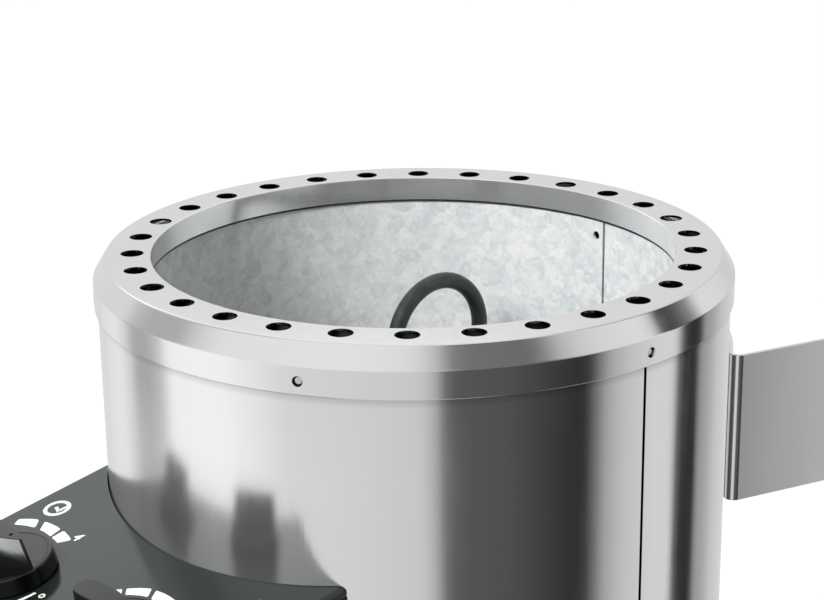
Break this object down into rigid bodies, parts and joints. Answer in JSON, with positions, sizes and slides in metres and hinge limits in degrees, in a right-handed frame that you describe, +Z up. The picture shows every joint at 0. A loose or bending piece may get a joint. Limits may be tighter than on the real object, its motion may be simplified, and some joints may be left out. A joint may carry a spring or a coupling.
{
  "type": "sauna heater stove",
  "caption": "Wall-hung sauna heater stove: round steel body open at the top for stones over tubular heating elements, with a front control box, two knobs and folded wall brackets.",
  "frame": {"origin": "centre of the upper wall bracket's hole rectangle, on the wall face of its flanges", "axes": "+Z up, +Y from the stove's front into the wall, +X to the right seen from the front"},
  "size_m": [0.4114, 0.4943, 0.487],
  "materials": {
    "polished_steel": "bright, fine vertical brushing under a mirror gloss",
    "bracket_steel": "satin sheet",
    "galvanised": "galvanised, small spangle",
    "grate_steel": "dark, heat-tinted",
    "element_sheath": "oxidised dark sheath",
    "fasteners": "bright zinc",
    "black_screws": "blackened",
    "black_housing": "black, half gloss",
    "panel_paint": "dark grey, satin",
    "knob_black": "black, moulded, glossy",
    "shaft_steel": "turned",
    "unit_casing": "moulded",
    "copper": "drawn copper",
    "reset_red": "moulded red",
    "gland_plastic": "moulded black"
  },
  "bodies": {
    "heater": {"rim_ring": "polished_steel", "outer_shell": "polished_steel", "inner_shell": "galvanised", "seam_rivets": "fasteners", "gap_spacers": "galvanised", "support_rings": "galvanised", "stone_grate": "grate_steel", "element_plate": "galvanised", "heating_element_left": "element_sheath", "heating_element_right": "element_sheath", "heating_element_front": "element_sheath", "element_nuts": "fasteners", "base_plate": "galvanised", "base_screws": "fasteners", "control_box": "black_housing", "control_panel": "panel_paint", "panel_screws": "black_screws", "box_floor": "black_housing", "floor_screws": "black_screws", "box_screws": "fasteners", "timer_unit": "unit_casing", "thermostat_unit": "unit_casing", "thermostat_bulb": "copper", "limiter_unit": "unit_casing", "reset_bushing": "gland_plastic", "terminal_block": "unit_casing", "mounting_rail": "galvanised", "cable_gland": "gland_plastic", "gland_nut": "gland_plastic", "upper_bracket": "bracket_steel", "lower_bracket": "bracket_steel", "bracket_screws": "fasteners", "rivet_nuts": "fasteners"},
    "timer_dial": {"timer_knob": "knob_black", "timer_shaft": "shaft_steel"},
    "thermostat_dial": {"thermostat_knob": "knob_black", "thermostat_shaft": "shaft_steel"},
    "reset": {"reset_button": "reset_red"}
  },
  "joints": [
    {"name": "timer_turn", "type": "hinge", "parent": "heater", "child": "timer_dial", "pos_m": [-0.05, -0.4415, -0.04566], "axis": [0, 0.1805, -0.9836], "range_deg": [0, 300]},
    {"name": "thermostat_turn", "type": "hinge", "parent": "heater", "child": "thermostat_dial", "pos_m": [0.05, -0.4415, -0.04566], "axis": [0, 0.1805, -0.9836], "range_deg": [0, 270]},
    {"name": "reset_press", "type": "slide", "parent": "heater", "child": "reset", "axis": [0, 0, 1], "range_m": [0, 0.0028], "stiffness_N_per_m": 400, "springref_m": -0.002}
  ]
}
